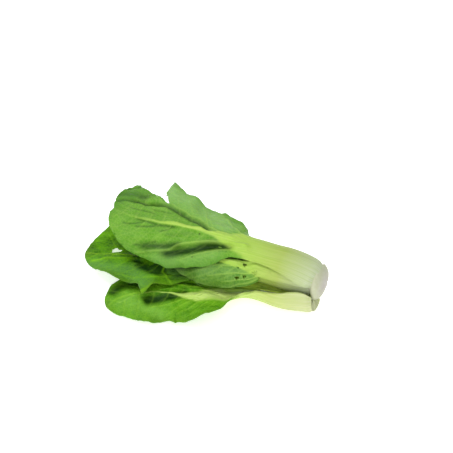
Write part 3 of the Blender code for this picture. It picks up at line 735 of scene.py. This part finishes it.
# The second outer leaf, low at the front: its petiole stands away from the bulb, and its blade turns
# over on the table, so that its glossy inner side looks up.
lower_front_leaf = dict(
    name="lower_front_leaf", slot="outer_leaf", turn=146, share=1.42, hug=1.06,
    least=24.6, start=0.6, thick=4.8, heel=5.0, fill=0.7, rim_wall=1.2, opens=(54, 72),
    path=((-66, -19.5, 1.2, 152), (-80, -23.5, 2.4, 166), (-95, -28.5, 3.6, 176),
          (-109, -35, 4.2, 182), (-121, -44, 4.2, 186), (-131, -55, 3.4, 186),
          (-139, -67, 2.2, 184), (-144, -77, 1.4, 182)),
    widths=((0, 20.3, 18), (6, 23, 22), (14, 23.5, 22), (24, 22.2, 22), (34, 19.8, 20.5), (46, 15.8, 17.5),
            (54, 11.6, 14.5), (60, 11, 12.5), (66, 17, 12.5), (75, 33, 14), (86, 41.5, 17),
            (100, 40.5, 21), (109, 39.5, 24), (117, 41, 26), (123, 40.3, 27.5), (128, 38, 28),
            (134, 35.8, 28), (142, 34.5, 27), (150, 34.5, 25.5), (160, 33.5, 23), (171, 26, 19)),
    low=((50, -6, 0), (66, -6, -6), (80, 2, -4), (170, 2, 0)), high=((60, 4, 8), (170, 0, 10)),
    tip=(12, 14), wave=(1.4, 1.2), wave_length=34, wave_phase=1.2,
    trim=2.0, fringe=(0.2, 0.4), blunt=2.4,
    flesh=((-14, 40), (-4, 20), (4, 16), (12, 13), (22, 10), (36, 7), (47, 4), (56, 1.5), (64, 0.6),
           (90, 0.3)),
    rib=((60, 0), (70, -1), (80, -4), (92, -8.5), (104, -8), (116, -5), (128, -2), (138, 0)),
    ribs=(
        (-0.5, 1.1, 0.9, ((74, 2), (86, 3), (98, 4), (108, 5))),
        (-0.5, 1.1, 0.95, ((82, -3), (92, -8.5), (103, -13.8), (116, -18.2), (134, -17.6))),
        (-0.5, 1.0, 0.85, ((82, -6), (92, -12), (100, -18), (109, -25.5), (122, -30))),
        (-0.4, 1.0, 0.8, ((76, -8), (88, -16.5), (94, -22), (101, -27), (108, -32))),
        (-0.4, 1.0, 0.75, ((71, -8), (81, -16), (87, -26), (94, -34))),
        (-0.4, 0.9, 0.6, ((66, -6), (74, -14), (77.5, -22), (80, -31))),
        (-0.5, 1.0, 0.6, ((138, 2), (151, 4.4), (163, 2.4), (170, 0))),
    ),
    painted_sheen_patches=((0.8, 11, ((150, -2), (142, -14), (130, -26))),),
    folds=(
        (1.2, 7.5, 7.0, 1.0, ((96, -3), (104, -6), (113, -9), (124, -9.5), (134, -8.5), (141, -9))),
        (0.6, 2.5, 2.5, 0.8, ((92, 7), (102, 7), (114, 9), (126, 8))),
        (0.8, 6.0, 6.0, 0.9, ((160, 9.5), (151, 14), (143, 14.5), (135, 10), (126, 9))),
    ),
)
leaf_piece(lower_front_leaf, leaf_finish(
    "lower_front_leaf_skin", (0.055, 0.21, 0.002), (0.18, 0.41, 0.022), base=(0.48, 0.50, 0.28),
    petiole=(0.43, 0.49, 0.16), neck=(0.48, 0.62, 0.17), rib=(0.35, 0.54, 0.10), sheen=0.07))


# The leaf at the back of the head, which lies half under the others with its outer side to the table.
# Its petiole closes the bulb behind, and its thin green blade is pressed nearly flat.
back_leaf = dict(
    name="back_leaf", slot="outer_leaf", turn=274, share=0.97, start=0.6, thick=4.2,
    path=((-64, 20, 21, 262), (-80, 25.5, 15, 240), (-98, 32, 10.5, 222), (-116, 38, 8, 211),
          (-134, 43.5, 7, 209), (-150, 48, 6, 205), (-163, 51, 5.5, 202)),
    widths=((0, 10, 9), (10, 16, 16), (20, 17, 17), (32, 14, 14), (44, 11, 11), (56, 9.5, 9),
            (68, 12, 8), (82, 21, 9), (98, 27, 13), (114, 30, 16), (132, 29, 15),
            (148, 25, 13), (160, 18, 11), (170, 12, 9)),
    low=((60, 2, 10), (100, -4, 0), (170, -6, -4)),
    high=((60, -4, 6), (100, -2, 0), (170, 0, 4)),
    tip=(13, 13), wave=(1.5, 1.6), wave_length=29, wave_phase=2.0,
)
leaf_piece(back_leaf, leaf_finish("back_leaf_skin", (0.09, 0.24, 0.035), (0.15, 0.34, 0.06)), 1.1)


# The leaf inside the front of the bulb, grown between the two outer leaves there. Its blade fans out
# under the top leaf, with ribs that spread from the neck and small holes chewed beside them.
upper_front_leaf = dict(
    name="upper_front_leaf", slot="outer_leaf", turn=50, share=0.93, start=4.0, thick=3.6,
    path=((-54, -15, 33.8, 56), (-66, -17.5, 33.2, 58), (-80, -18.5, 31.8, 58),
          (-95, -18, 29.8, 55), (-110, -15.5, 27.6, 51), (-125, -12, 25.6, 47),
          (-139, -8, 24.2, 43)),
    widths=((0, 10, 8), (8, 12, 9), (20, 12, 9), (32, 11, 10), (42, 9, 11), (47, 8, 12.5),
            (53, 9, 18), (61, 12, 20.5), (72, 16, 22.4), (86, 19, 23), (100, 20, 21),
            (114, 18, 18), (128, 13, 12), (138, 8, 8)),
    low=((50, 4, 26), (140, 4, 26)), high=((50, 6, 20), (140, 6, 20)),
    tip=(9, 9), wave=(1.0, 1.6), wave_length=22, wave_phase=0.8,
    opens=(48, 66), vein=0.6, flesh=((-14, 40), (0, 26), (4, 13), (8, 5), (14, 2.6), (22, 1.5), (60, 0.8)),
    ribs=(
        (1.1, 1.1, 1.0, ((32, 1.5), (44, 2.4), (57, 1.5), (69, 3), (84, 5))),
        (1.1, 1.1, 1.0, ((30, 4), (41, 6.2), (57, 6.9), (71, 10.4), (84, 14))),
        (0.9, 1.0, 1.0, ((32, 6), (44, 9), (58, 13), (72, 17))),
        (0.8, 1.0, 0.9, ((34, 8), (47, 11.5), (56, 16.5), (66, 21))),
        (0.8, 0.9, 0.9, ((34, -1), (46, -2), (58, -3), (72, -2))),
    ),
    painted_sheen_patches=((0.35, 6, ((58, 4), (74, 8), (92, 10))),),
    # The fold runs under the top leaf's front margin and darkens it with painted shadow.
    folds=(
        (-1.5, 3.2, 3.2, 1.0, ((48, -5), (56, -6), (64, -5), (72, -1.5), (84, 3), (96, 9), (108, 14),
                               (118, 16))),
    ),
    holes=((54, 0.2, 1.8, 1.4), (59, 2.9, 1.4, 1.3), (59, 11.8, 1.9, 1.4), (54.5, 9.6, 1.6, 1.4)),
)
leaf_piece(upper_front_leaf, leaf_finish(
    "upper_front_leaf_skin", (0.052, 0.172, 0.008), (0.085, 0.22, 0.02), neck_at=52.0))


# The longest leaf, under the others: its blade spreads on the table to the far left, inner side up,
# with a hole eaten in it near the tip.
far_left_leaf = dict(
    name="far_left_leaf", slot="outer_leaf", turn=200, share=0.96, hug=1.4, start=4.0, thick=3.6,
    path=((-60, 2, 7.4, 196), (-76, 0.5, 7.6, 190), (-94, -2.5, 8.4, 186), (-112, -7, 9.6, 182),
          (-128, -12, 10.8, 180), (-144, -18, 12, 178), (-160, -24.5, 12.6, 176),
          (-175, -30.5, 12.4, 176), (-190, -36, 11.6, 178)),
    widths=((0, 10, 11), (10, 15, 15), (20, 15, 15), (32, 19, 12), (46, 22, 9.5), (56, 21.5, 9),
            (66, 19, 12), (80, 20, 20), (98, 25, 26), (116, 30, 31), (134, 31.5, 36),
            (152, 33.3, 41), (168, 32, 47), (182, 27, 47), (194, 19, 41)),
    low=((60, -4, 4), (190, -4, 4)), high=((60, 0, 8), (190, -2, 10)),
    tip=(12, 13), wave=(1.6, 1.6), wave_length=33, wave_phase=2.6,
    opens=(30, 56), trim=1.8, lobes=((0, 147, 14, 4.6),), vein=0.7,
    flesh=((-14, 40), (24, 34), (34, 18), (44, 9), (56, 3.5), (70, 1.5), (110, 0.6)),
    # The first sheen patch is a bluish painted shade, standing in for an inner leaf in shadow beyond this
    # one.
    painted_sheen_patches=(
        (1.0, 9, ((122, -13), (111, -19), (103, -24))),
        (0.7, 9, ((184, -14), (168, -18), (150, -22), (140, -34))),
    ),
    ribs=(
        (-0.5, 1.2, 0.9, ((184, -9), (172, -6.8), (163, -5.5), (150, -3))),
        (-0.4, 2.2, 1.0, ((140, -46), (135.5, -39), (130, -33.5), (119, -30.5))),
        (-0.6, 1.2, 1.0, ((130, -14), (124.5, -22.5), (119.5, -30.5))),
        (-0.6, 1.1, 0.6, ((120, -20), (132, -25.5), (150, -26.6), (165, -24))),
    ),
    folds=(
        (-1.6, 1.6, 2.4, 0.3, ((178, -8), (172, -6.8), (163, -5.5), (150, -3), (140, -2))),
        (1.5, 4.0, 6.0, 0.85, ((156, -1), (146, -8), (138, -15), (126, -22))),
        (0.0, 6.0, 6.0, 0.9, ((152, -9), (142, -14), (133, -17), (122, -16))),
        (0.0, 5.5, 5.5, 0.5, ((124, -14), (113, -20), (102, -26))),
    ),
    holes=((167.5, 6.5, 4.0, 3.0),),
)
# Its petiole is painted a bright saturated yellow-green, painted light standing for its glow in the shaded
# gap under the front leaves.
leaf_piece(far_left_leaf, leaf_finish(
    "far_left_leaf_skin", (0.016, 0.085, 0.001), (0.16, 0.38, 0.003), base=(0.56, 0.68, 0.20),
    petiole=(0.58, 0.76, 0.11), neck=(0.58, 0.80, 0.09), painted_shade_colour=(0.011, 0.044, 0.014),
    rib=(0.26, 0.48, 0.025), painted_sheen=(0.13, 0.27, 0.17), sheen=0.05))


# The four leaves inside these, each smaller and paler than the one outside it. They are thin plain
# spoons on slim petioles, held in the cup of the outer leaves and nearly hidden by them.
upper_back_leaf = dict(
    name="upper_back_leaf", slot="outer_leaf", turn=328, share=0.8, start=5.0, thick=3.2,
    path=((-62, 9, 36.5, 332), (-80, 11, 37, 334), (-98, 13, 36.2, 336), (-116, 15, 34.6, 340),
          (-134, 17.5, 32.8, 342), (-152, 20, 31, 344)),
    widths=((0, 9, 8), (10, 12, 11), (22, 12, 11), (34, 10, 10), (46, 8.5, 8.5), (58, 8, 8),
            (68, 12, 11), (82, 19, 17), (98, 23, 21), (116, 24, 22), (132, 21, 19),
            (144, 15, 13), (150, 11, 9)),
    low=((60, 8, 34), (150, 6, 30)), high=((60, 6, 40), (150, 6, 36)),
    tip=(10, 10), wave=(1.2, 1.2), wave_length=26, wave_phase=0.0,
)
inner_front_leaf = dict(
    name="inner_front_leaf", slot="inner_leaf", turn=108, share=0.7, start=6.0, thick=2.8,
    path=((-58, -12, 20.5, 114), (-74, -17, 19, 124), (-90, -25, 17, 145),
          (-106, -32, 15, 158), (-122, -36, 14.5, 166), (-137, -38, 14.5, 170)),
    widths=((0, 8, 8), (10, 10.5, 10.5), (22, 10.5, 12), (34, 9, 13), (46, 8, 13), (54, 8, 13),
            (64, 10, 16), (78, 12, 17), (94, 14, 20), (110, 15, 20), (122, 14, 15), (131, 10, 9)),
    low=((60, 6, 40), (80, 2, 20), (100, -2, 8), (130, -2, 6)),
    high=((60, 6, 36), (90, 0, 12), (130, -2, 8)),
    tip=(9, 9), wave=(1.0, 1.0), wave_length=24, wave_phase=1.7,
    ribs=((-0.8, 1.0, 1.0, ((127, 2), (121, -1), (115, -6), (108, -12))),),
)
inner_back_leaf = dict(
    name="inner_back_leaf", slot="inner_leaf", turn=246, share=0.62, start=8.0, thick=2.6,
    path=((-58, 10.5, 19.5, 246), (-74, 12.5, 18.4, 244), (-90, 14.5, 17.2, 240),
          (-106, 16.5, 16.2, 236), (-122, 18.5, 15.4, 232), (-134, 20, 15, 230)),
    widths=((0, 7, 7), (10, 9.5, 9.5), (22, 9.5, 9.5), (34, 8, 8), (46, 7, 7), (54, 7.5, 7.5),
            (64, 10.5, 10.5), (78, 15, 15), (94, 17, 17), (108, 16, 16), (118, 12, 12),
            (126, 8, 8)),
    low=((60, 8, 44), (126, 8, 40)),
    tip=(9, 9), wave=(0.9, 0.9), wave_length=23, wave_phase=0.6,
)
inner_top_leaf = dict(
    name="inner_top_leaf", slot="inner_leaf", turn=24, share=0.56, start=9.0, thick=2.3,
    path=((-58, -4, 34, 24), (-74, -4.4, 34.4, 22), (-90, -4.6, 34, 20), (-106, -4.4, 32.8, 16),
          (-121, -3.6, 31.2, 12)),
    widths=((0, 6, 6), (10, 8.5, 8.5), (22, 8.5, 8.5), (34, 7, 7), (46, 6.5, 6.5),
            (54, 7.5, 7.5), (66, 11.5, 11.5), (80, 14.5, 14.5), (92, 14, 14), (102, 11, 11),
            (112, 7, 7)),
    low=((56, 10, 48), (112, 10, 44)),
    tip=(8, 8), wave=(0.8, 0.8), wave_length=21, wave_phase=2.2,
)
for leaf, blade, light in (
    (upper_back_leaf, (0.12, 0.29, 0.04), (0.18, 0.38, 0.06)),
    (inner_front_leaf, (0.055, 0.15, 0.035), (0.12, 0.27, 0.07)),
    (inner_back_leaf, (0.15, 0.34, 0.05), (0.22, 0.42, 0.08)),
    (inner_top_leaf, (0.17, 0.37, 0.05), (0.24, 0.44, 0.08)),
):
    leaf_piece(leaf, leaf_finish(leaf["name"] + "_skin", blade, light, neck_at=55.0), 1.1)


# The heart: the two youngest leaves, small, pale and tender, which grow highest on the stem. Their
# blades have barely opened, and they fold round the bud.
heart_lower_leaf = dict(
    name="heart_lower_leaf", slot="heart_leaf", turn=166, share=0.47, start=11.0, thick=2.0,
    path=((-56, -1.8, 17.6, 166), (-72, -2.2, 17.6, 166), (-88, -2.6, 18, 166),
          (-104, -3, 19, 166)),
    widths=((0, 4.5, 4.5), (10, 6.5, 6.5), (22, 6.5, 6.5), (34, 6, 6), (44, 6, 6), (56, 9, 9),
            (70, 11.5, 11.5), (82, 10, 10), (94, 6, 6)),
    low=((50, 12, 56), (94, 12, 50)),
    tip=(7, 7), wave=(0.6, 0.6), wave_length=19, wave_phase=1.1,
)
heart_upper_leaf = dict(
    name="heart_upper_leaf", slot="heart_leaf", turn=304, share=0.34, start=13.0, thick=1.6,
    path=((-54, 4, 27.2, 308), (-68, 4.4, 27.8, 312), (-82, 4.4, 28.2, 316), (-95, 4, 28.2, 320)),
    widths=((0, 3.5, 3.5), (10, 4.5, 4.5), (22, 4.5, 4.5), (34, 4.5, 4.5), (46, 6.5, 6.5),
            (60, 8.5, 8.5), (71, 7, 7), (82, 4, 4)),
    low=((48, 14, 60), (82, 14, 54)),
    tip=(6, 6), wave=(0.5, 0.5), wave_length=17, wave_phase=0.4,
)
for leaf in (heart_lower_leaf, heart_upper_leaf):
    heart_skin = leaf_finish(leaf["name"] + "_skin", (0.34, 0.52, 0.10), (0.45, 0.62, 0.18), neck_at=48.0)
    leaf_piece(leaf, heart_skin, 0.9)


# The cut stem: the round face that the knife left, slightly domed and drying at its edge, and the
# cone of stem behind it that the petioles grow from.
cut_centre = Vector((cut_foot.x, cut_foot.y, AXIS_HEIGHT * MM))
cut_radius, stem_depth, cut_inset = 0.0142, 0.012, 0.0002
dome_height, edge_drop, roughly = 0.0026, 0.0022, 0.0004
bpy.ops.object.select_all(action="DESELECT")
bpy.ops.mesh.primitive_cylinder_add(
    vertices=96, radius=cut_radius, depth=stem_depth, rotation=(0, math.pi / 2, 0),
    location=cut_centre - Vector((cut_inset + stem_depth / 2, 0, 0)),
)
stem_base_shown = bpy.context.object
stem_base_shown.name = "stem_base_shown"
bpy.ops.object.transform_apply(location=True, rotation=True, scale=True)
pick_faces(stem_base_shown, lambda polygon: polygon.normal.x > 0.9)
for _ in range(12):
    bpy.ops.mesh.inset(thickness=0.0011)
pick_faces(stem_base_shown, lambda polygon: polygon.normal.x < -0.9)
back_centre = cut_centre - Vector((cut_inset + stem_depth, 0, 0))
bpy.ops.transform.resize(value=(1, 0.25, 0.25), center_override=back_centre)
bpy.ops.object.mode_set(mode="OBJECT")
for vertex in stem_base_shown.data.vertices:
    away = (vertex.co - cut_centre).yz.length / cut_radius
    if vertex.co.x > cut_centre.x - 0.001:
        uneven_face = noise.noise((vertex.co.y * 260, vertex.co.z * 260, 0.5))
        vertex.co.x += dome_height * (1 - away ** 2.4) + roughly * uneven_face - edge_drop * away ** 8
bpy.ops.object.shade_smooth()


def grainy_skin(name, stretch, grain_depth, roughness):
    """A new finish with fine grain: the material, its nodes, its shader, the place and the grain."""
    made = bpy.data.materials.new(name)
    made.use_nodes = True
    tree = made.node_tree
    shader = tree.nodes["Principled BSDF"]
    place = node(tree, "TexCoord").outputs["Object"]
    stretched = node(tree, "Mapping", {0: place, 3: stretch}).outputs[0]
    grain = node(tree, "TexNoise", {"Vector": stretched, "Scale": 1.0, "Detail": 3.0}).outputs["Fac"]
    bump = node(tree, "Bump", {"Strength": 0.4, "Distance": grain_depth, "Height": grain})
    tree.links.new(bump.outputs[0], shader.inputs["Normal"])
    tree.links.new(sums(tree, "MULTIPLY_ADD", grain, 0.2, roughness), shader.inputs["Roughness"])
    return made, tree, shader, place, grain


even = (420.0, 420.0, 420.0)
stem_skin, tree, stem_shader, place, pith = grainy_skin("cut_stem", even, 0.0004, 0.5)
centred = node(tree, "VectorMath", {0: place, 1: cut_centre}, operation="SUBTRACT").outputs[0]
from_middle = node(tree, "VectorMath", {0: centred}, operation="LENGTH").outputs["Value"]
ring = node(tree, "MapRange", {0: from_middle, 1: 0.004, 2: 0.0125}, clamp=True).outputs[0]
stem_colour = mixed(tree, ring, (0.41, 0.385, 0.34), (0.43, 0.45, 0.30))
stem_colour = mixed(tree, sums(tree, "MULTIPLY_ADD", pith, 1.6, -0.5, True), stem_colour,
                    mixed(tree, 1.0, stem_colour, (0.86, 0.84, 0.78), "MULTIPLY"))
tree.links.new(stem_colour, stem_shader.inputs["Base Color"])
stem_shader.inputs["Subsurface Weight"].default_value = 0.2
stem_shader.inputs["Subsurface Radius"].default_value = (1.0, 1.0, 0.6)
stem_shader.inputs["Subsurface Scale"].default_value = 0.002
stem_base_shown.data.materials.append(stem_skin)
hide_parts("stem_base")
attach(stem_base_shown, "root")


# The bud in the middle of the heart, the growing tip of the stem: a slim closed spindle of soft pale
# leaves still to come, with shallow ribs where they overlap.
bud_low, bud_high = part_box("heart_bud")
bud_middle = (bud_low + bud_high) / 2
bpy.ops.object.select_all(action="DESELECT")
bpy.ops.mesh.primitive_uv_sphere_add(
    segments=32, ring_count=40, radius=1, location=bud_middle, rotation=(0, -math.pi / 2, 0),
)
heart_bud_shown = bpy.context.object
heart_bud_shown.name = "heart_bud_shown"
half_size = (bud_high - bud_low) / 2
heart_bud_shown.scale = (half_size.z, half_size.y, half_size.x)
bpy.ops.object.transform_apply(location=True, rotation=True, scale=True)
for vertex in heart_bud_shown.data.vertices:
    towards_tip = (bud_high.x - vertex.co.x) / (bud_high.x - bud_low.x)
    turn = math.atan2(vertex.co.y - bud_middle.y, vertex.co.z - bud_middle.z)
    fullness = (0.72 + 0.28 * towards_tip) * (1 - 0.08 * math.cos(5 * turn) ** 2)
    vertex.co.y = bud_middle.y + (vertex.co.y - bud_middle.y) * fullness
    vertex.co.z = bud_middle.z + (vertex.co.z - bud_middle.z) * fullness
bpy.ops.object.shade_smooth()
along_bud = (60.0, 900.0, 900.0)
bud_skin, tree, bud_shader, place, bud_grain = grainy_skin("heart_bud_skin", along_bud, 0.0003, 0.35)
bud_colour = mixed(tree, bud_grain, (0.34, 0.48, 0.12), (0.55, 0.66, 0.26))
tree.links.new(bud_colour, bud_shader.inputs["Base Color"])
heart_bud_shown.data.materials.append(bud_skin)
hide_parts("heart_bud")
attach(heart_bud_shown, "root")
